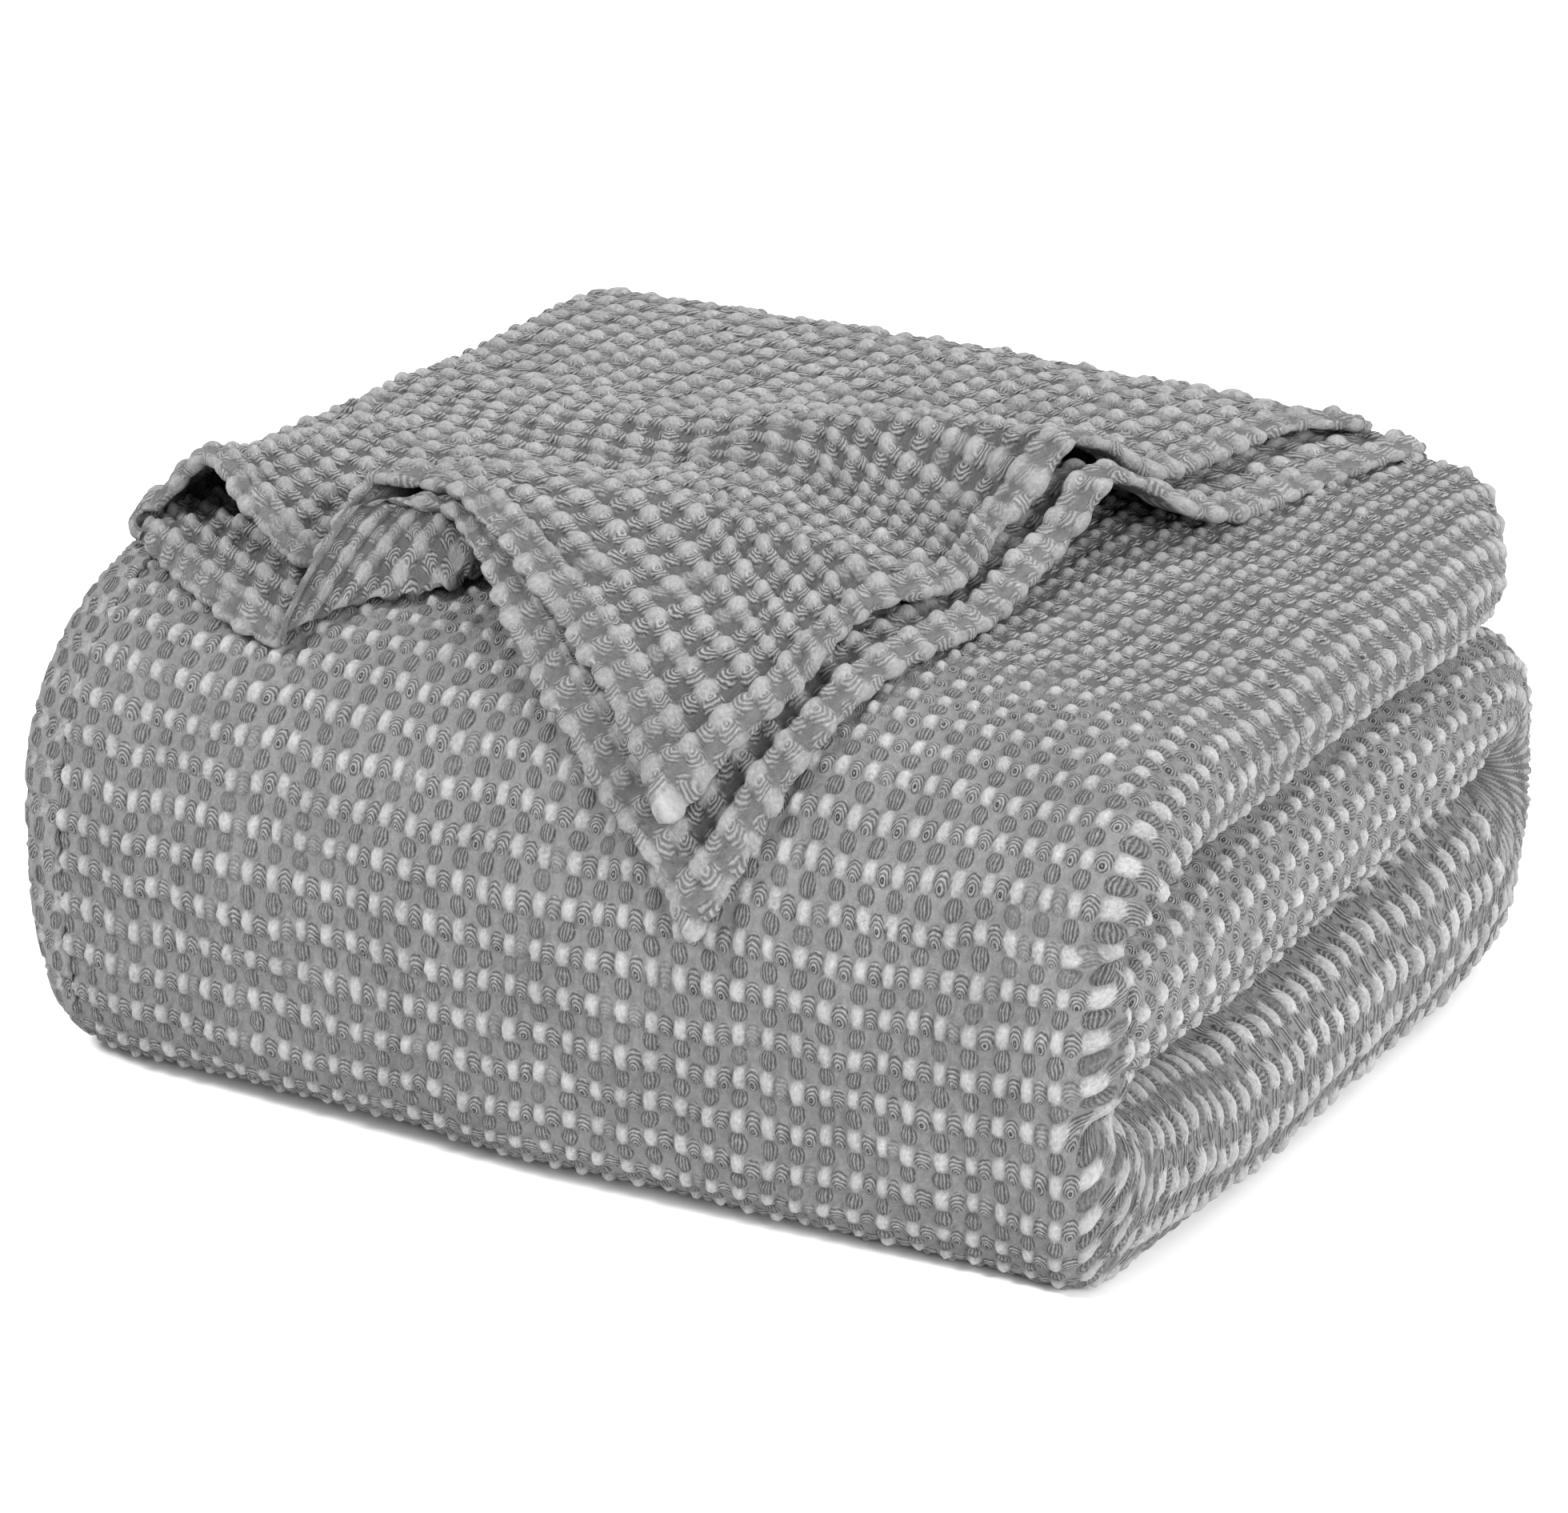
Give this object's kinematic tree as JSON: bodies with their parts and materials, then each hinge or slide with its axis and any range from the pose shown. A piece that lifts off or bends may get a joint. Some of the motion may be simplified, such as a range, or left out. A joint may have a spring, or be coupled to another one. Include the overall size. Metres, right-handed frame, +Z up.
{
  "type": "waffle weave blanket",
  "caption": "Light grey waffle weave cotton blanket, folded into a rounded block with a loose corner laid over its top and front.",
  "frame": {"origin": "middle of the footprint, on the surface the folded blanket lies on", "axes": "+X towards the right end with the rounded folded edges, -Y towards the front with the loose corner, +Z up"},
  "size_m": [0.417, 0.3794, 0.203],
  "materials": {
    "grey_cotton": "soft matt washed cotton in a waffle weave"
  },
  "bodies": {
    "root": {"blanket": "grey_cotton"}
  },
  "joints": []
}
